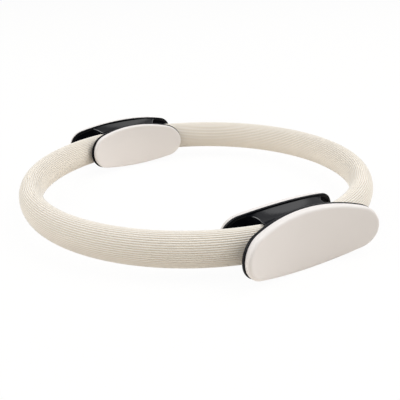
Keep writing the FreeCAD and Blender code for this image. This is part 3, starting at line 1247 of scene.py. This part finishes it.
    def build(
        self, front_piece: bpy.types.Object | None, end: End, grip: "Grip"
    ) -> bpy.types.Object:
        """Draw the shell for the front grip, or turn a copy of it to the rear.

        Args:
            front_piece: The front grip's shell, for the rear one.
            end: The grip's place.
            grip: The grip, for its two plates.

        Returns:
            The shell.
        """
        name = f"{end.label}_{self.name}_moulding"
        if front_piece is None:
            loops = [
                self.seat.lay(self.oval.loop(inset, share), depth, self.tube)
                for inset, share, depth in self.plate_profile()
            ]
            piece = Workbench.loft(name, loops)
            Workbench.finish(piece, self.plate_sharp)
            self.polish_plate(piece)
            loops = self.body_loops(grip)
            body = Workbench.loft(name + "_body", loops)
            Workbench.finish(body, self.body_sharp)
            self.polish_body(body, loops)
            piece = Workbench.join(piece, body)
        else:
            piece = Workbench.turned_copy(front_piece, name, end.value)
        dress(piece, GLOSS_SHELL)
        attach(piece, f"{end.label}_handle")
        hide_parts(f"{end.label}_{self.name}")
        return piece


@dataclass
class Grip:
    """The padded grips: two shells and two pads each, at the front and the rear of the ring."""

    tube: Tube
    outer_plate: float = 2.6 * MM
    outer_seat_radius: float = 213.0 * MM
    outer_clearance: float = 0.8 * MM
    outer_end_radius: float = 19.5 * MM
    outer_pad_thickness: float = 7.0 * MM
    outer_pad_round: float = 4.0 * MM
    inner_plate: float = 2.4 * MM
    inner_clearance: float = 3.2 * MM
    inner_plate_end_radius: float = 19.6 * MM
    inner_plate_longer: float = 0.9 * MM
    inner_plate_taller: float = -0.4 * MM
    inner_pad_end_radius: float = 19.4 * MM
    inner_pad_longer: float = 0.2 * MM
    inner_pad_taller: float = 0.5 * MM
    inner_pad_thickness: float = 6.0 * MM
    inner_pad_round: float = 2.6 * MM

    def __post_init__(self) -> None:
        """Lay out the shells and the pads from the tube and the frame."""
        self.lay_out_outer()
        self.lay_out_inner()

    def lay_out_outer(self) -> None:
        """Set the outer shell and pad on the seat that flares away from the tube."""
        tube = self.tube
        seat = Seat.flared(tube, self.outer_seat_radius, self.outer_plate, self.outer_clearance)
        oval = Oval.of_node("front_outer_shell", tube, self.outer_end_radius)
        self.outer_shell = Shell("outer_shell", oval, seat, tube, self.outer_plate, outer=True)
        oval = Oval.of_node("front_outer_pad", tube, self.outer_end_radius)
        thickness, edge_round = self.outer_pad_thickness, self.outer_pad_round
        self.outer_pad = Pad("outer_pad", oval, seat, tube, thickness, edge_round)

    def lay_out_inner(self) -> None:
        """Set the inner shell and pad on a seat about the ring's axis."""
        tube = self.tube
        off_tube = self.inner_clearance + self.inner_plate
        seat = Seat(0.0, tube.ring_radius - tube.half_width - off_tube)
        oval = Oval.of_node(
            "front_inner_shell",
            tube,
            self.inner_plate_end_radius,
            self.inner_plate_longer,
            self.inner_plate_taller,
        )
        self.inner_shell = Shell("inner_shell", oval, seat, tube, self.inner_plate, outer=False)
        oval = Oval.of_node(
            "front_inner_pad",
            tube,
            self.inner_pad_end_radius,
            self.inner_pad_longer,
            self.inner_pad_taller,
        )
        thickness, edge_round = self.inner_pad_thickness, self.inner_pad_round
        self.inner_pad = Pad("inner_pad", oval, seat, tube, thickness, edge_round)

    def build(self) -> list[bpy.types.Object]:
        """Make both grips, the rear one as turned copies.

        Returns:
            The new pieces.
        """
        pieces = []
        for shell in (self.outer_shell, self.inner_shell):
            front = shell.build(None, End.FRONT, self)
            pieces += [front, shell.build(front, End.REAR, self)]
        for pad in (self.outer_pad, self.inner_pad):
            front = pad.build(None, End.FRONT)
            pieces += [front, pad.build(front, End.REAR)]
        return pieces


class Fasteners:
    """The screws, their brass inserts and the dowels, which keep the frame's own shapes."""

    FINISHES = {"_screw": SCREW_STEEL, "_insert": INSERT_BRASS, "_pin": SCREW_STEEL}

    def dress(self, nodes: dict[str, bpy.types.Object]) -> int:
        """Give each one its metal.

        Args:
            nodes: The frame's nodes by name.

        Returns:
            How many were dressed.
        """
        found = 0
        for name, node in nodes.items():
            for ending, finish in self.FINISHES.items():
                if name.endswith(ending):
                    dress(node, finish)
                    found += 1
        return found


@dataclass(frozen=True)
class Lamp:
    """A soft round lamp. Its bearing, from the front to the right, and its elevation are in degrees."""

    name: str
    bearing: float
    elevation: float
    distance: float
    size: float
    power: float


@dataclass
class Studio:
    """A white floor and backdrop, soft light, and the photograph's camera."""

    tube: Tube
    distance: float = 640.08 * MM
    azimuth: float = math.radians(-30.09)
    elevation: float = math.radians(19.78)
    roll: float = math.radians(1.75)
    pan: float = math.radians(-0.32)
    tilt: float = math.radians(-2.03)
    focal_pixels: float = 621.24
    image_pixels: float = 400.0
    clip_start: float = 10.0 * MM
    white: tuple[float, float, float, float] = (1.0, 1.0, 1.0, 1.0)
    floor_size: float = 60.0
    floor_colour: str = "FBF5EC"
    floor_white: float = 0.96
    sky_strength: float = 0.21
    lamps: tuple[Lamp, ...] = (
        Lamp("right_lamp", bearing=60.0, elevation=53.0, distance=3.0, size=3.0, power=75.0),
        Lamp("left_lamp", bearing=-110.0, elevation=48.0, distance=3.0, size=3.0, power=60.0),
    )

    def set_camera(self) -> None:
        """Stand the camera where the photograph was taken from."""
        camera = bpy.data.cameras.new("camera")
        camera.lens = camera.sensor_width * self.focal_pixels / self.image_pixels
        camera.clip_start = self.clip_start
        holder = bpy.data.objects.new("camera", camera)
        bpy.context.scene.collection.objects.link(holder)
        around = Matrix.Rotation(self.azimuth, 3, "Z")
        back = around @ Vector((0.0, -math.cos(self.elevation), math.sin(self.elevation)))
        forward, right = -back, around @ Vector((1.0, 0.0, 0.0))
        up = right.cross(forward)
        pan = Matrix.Rotation(self.pan, 3, up)
        forward, right = pan @ forward, pan @ right
        tilt = Matrix.Rotation(self.tilt, 3, right)
        forward, up = tilt @ forward, tilt @ up
        roll = Matrix.Rotation(self.roll, 3, forward)
        right, up = roll @ right, roll @ up
        place = Matrix((right, up, -forward)).transposed().to_4x4()
        place.translation = back * self.distance + Vector((0.0, 0.0, self.tube.mid_height))
        holder.matrix_world = place
        bpy.context.scene.camera = holder

    def seen_directly(self, sketch: NodeSketch) -> bpy.types.NodeSocket:
        """A mask that is 1 for rays from the camera, and for what gloss and glass show.

        Args:
            sketch: The floor's or the sky's tree.

        Returns:
            The mask's socket.
        """
        rays = sketch.add("ShaderNodeLightPath").outputs
        seen = rays["Is Camera Ray"]
        for other in ("Is Glossy Ray", "Is Transmission Ray"):
            either = sketch.add("ShaderNodeMath", {0: seen, 1: rays[other]}, operation="MAXIMUM")
            seen = either.outputs[0]
        return seen

    def set_floor(self) -> None:
        """Lay the floor, white to the eye but for the object's soft shadow."""
        Workbench.clear()
        bpy.ops.mesh.primitive_plane_add(size=self.floor_size)
        floor = bpy.context.active_object
        floor.name = "floor"
        material = bpy.data.materials.new("floor_paper")
        material.use_nodes = True
        sketch = NodeSketch(material.node_tree)
        seen = self.seen_directly(sketch)
        share = sketch.add("ShaderNodeMath", {0: seen, 1: self.floor_white}, operation="MULTIPLY")
        paper = sketch.add("ShaderNodeBsdfDiffuse", {"Color": linear(self.floor_colour)})
        white = sketch.add("ShaderNodeEmission", {"Color": self.white, "Strength": 1.0})
        mixed = sketch.add(
            "ShaderNodeMixShader", {0: share.outputs[0], 1: paper.outputs[0], 2: white.outputs[0]}
        )
        sketch.add("ShaderNodeOutputMaterial", {"Surface": mixed.outputs[0]})
        floor.data.materials.append(material)

    def set_sky(self) -> None:
        """Light the object evenly from a sky that looks white."""
        world = bpy.data.worlds.new("studio")
        world.use_nodes = True
        bpy.context.scene.world = world
        sketch = NodeSketch(world.node_tree)
        seen = self.seen_directly(sketch)
        strength = sketch.add(
            "ShaderNodeMapRange", {"Value": seen, "To Min": self.sky_strength, "To Max": 1.0}
        )
        sky = sketch.add(
            "ShaderNodeBackground", {"Color": self.white, "Strength": strength.outputs["Result"]}
        )
        sketch.add("ShaderNodeOutputWorld", {"Surface": sky.outputs[0]})

    def hang_lamp(self, lamp: Lamp) -> None:
        """Hang one soft lamp and aim it at the ring.

        Args:
            lamp: The lamp.
        """
        light = bpy.data.lights.new(lamp.name, "AREA")
        light.shape = "DISK"
        light.size = lamp.size
        light.energy = lamp.power
        holder = bpy.data.objects.new(lamp.name, light)
        bpy.context.scene.collection.objects.link(holder)
        turn, rise = math.radians(lamp.bearing), math.radians(lamp.elevation)
        level = math.cos(rise)
        towards = Vector((math.sin(turn) * level, -math.cos(turn) * level, math.sin(rise)))
        holder.location = towards * lamp.distance
        holder.rotation_euler = (-towards).to_track_quat("-Z", "Y").to_euler()

    def build(self) -> None:
        """Set up everything round the object."""
        bpy.context.scene.view_settings.view_transform = "Standard"
        self.set_floor()
        self.set_sky()
        for lamp in self.lamps:
            self.hang_lamp(lamp)
        self.set_camera()


def main() -> None:
    """Load the frame, build and dress the pieces, and set the studio round them."""
    logging.basicConfig(level=logging.INFO, format="%(name)s: %(message)s")
    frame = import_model()
    tube = Tube.from_frame()
    for side in Side:
        sleeve = Sleeve(tube, side)
        LOG.info("built %s", sleeve.build().name)
        for outer in (True, False):
            for piece in Leaf(sleeve, outer).build():
                LOG.info("built %s", piece.name)
    for piece in Grip(tube).build():
        LOG.info("built %s", piece.name)
    LOG.info("dressed %d fasteners", Fasteners().dress(frame["nodes"]))
    Studio(tube).build()


if __name__ == "__main__":
    main()
